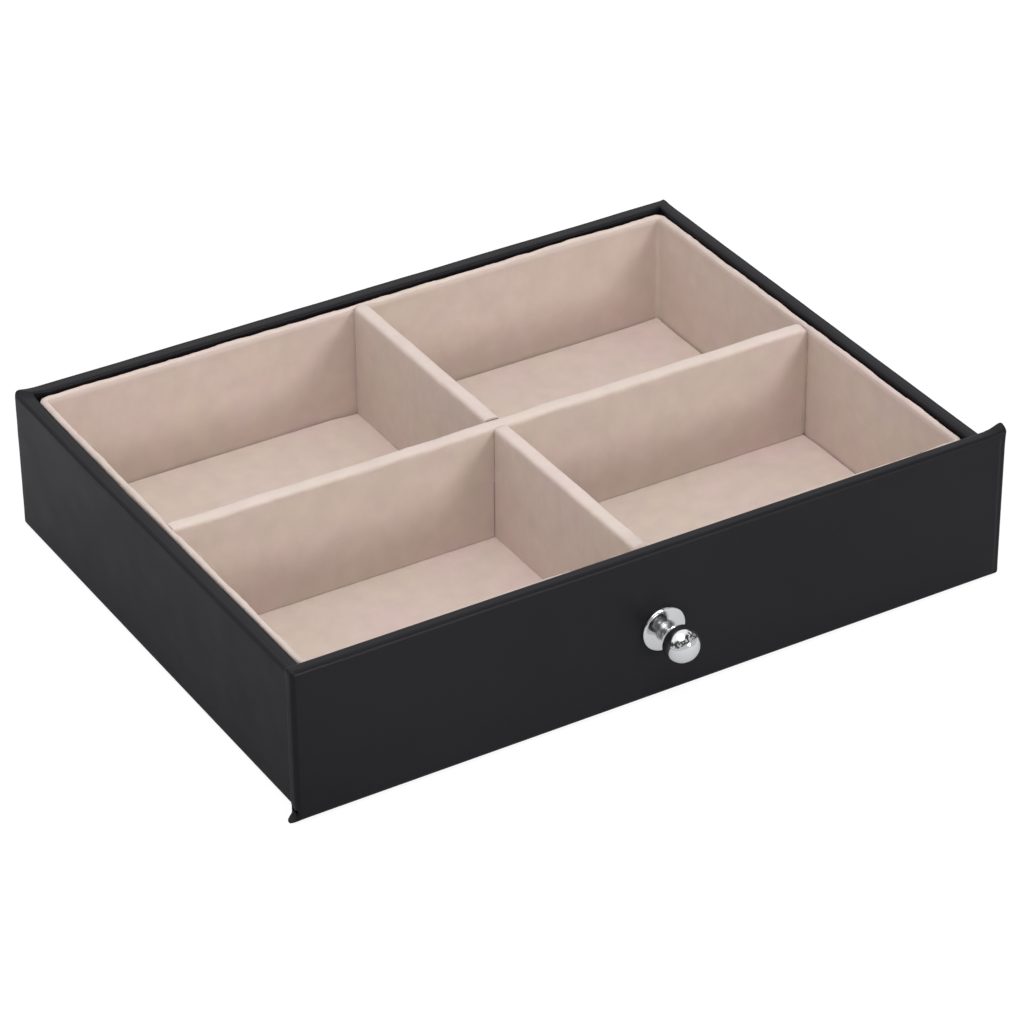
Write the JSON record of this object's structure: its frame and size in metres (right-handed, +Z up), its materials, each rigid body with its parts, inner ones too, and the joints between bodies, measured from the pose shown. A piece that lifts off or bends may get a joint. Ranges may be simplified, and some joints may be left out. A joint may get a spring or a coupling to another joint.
{
  "type": "jewellery box drawer",
  "caption": "Shallow jewellery-box drawer: leather-covered box and overhanging front panel with a ball knob, a lift-out velvet lining tray and slotted padded dividers.",
  "frame": {"origin": "middle of the face that the drawer stands on, the underside of the lining sheet, at half of the drawer box's width and depth", "axes": "+X across the drawer to its right seen from the front, +Y to the back, away from the knob, +Z up"},
  "size_m": [0.2574, 0.2113, 0.0543],
  "materials": {
    "black_leather": "smooth satin faux leather",
    "beige_velvet": "short-pile velvet",
    "chrome": "polished chrome plate",
    "zinc_steel": "zinc-plated steel",
    "fibreboard": "raw fibreboard",
    "grey_card": "grey card",
    "pad_foam": "thin foam sheet",
    "black_paper": "matte lining paper"
  },
  "bodies": {
    "drawer": {"front_board": "fibreboard", "front_wrap": "black_leather", "knob_ball": "chrome", "knob_rosette": "chrome", "knob_screw": "zinc_steel", "knob_washer": "zinc_steel", "left_board": "fibreboard", "right_board": "fibreboard", "back_board": "fibreboard", "inner_front_board": "fibreboard", "bottom_board": "fibreboard", "side_wrap": "black_leather", "front_lip_wrap": "black_leather", "base_sheet": "black_paper"},
    "tray": {"tray_floor_card": "grey_card", "tray_left_card": "grey_card", "tray_right_card": "grey_card", "tray_front_card": "grey_card", "tray_back_card": "grey_card", "wall_velvet": "beige_velvet", "floor_pad": "pad_foam", "floor_velvet": "beige_velvet"},
    "cross_divider": {"cross_divider_card": "grey_card", "cross_divider_velvet": "beige_velvet"},
    "long_divider": {"long_divider_card": "grey_card", "long_divider_velvet": "beige_velvet"}
  },
  "joints": [
    {"name": "tray_lift", "type": "slide", "parent": "drawer", "child": "tray", "axis": [0, 0, 1], "range_m": [0, 0.06]},
    {"name": "cross_divider_lift", "type": "slide", "parent": "tray", "child": "cross_divider", "axis": [0, 0, 1], "range_m": [0, 0.05]},
    {"name": "long_divider_lift", "type": "slide", "parent": "cross_divider", "child": "long_divider", "axis": [0, 0, 1], "range_m": [0, 0.05]}
  ]
}
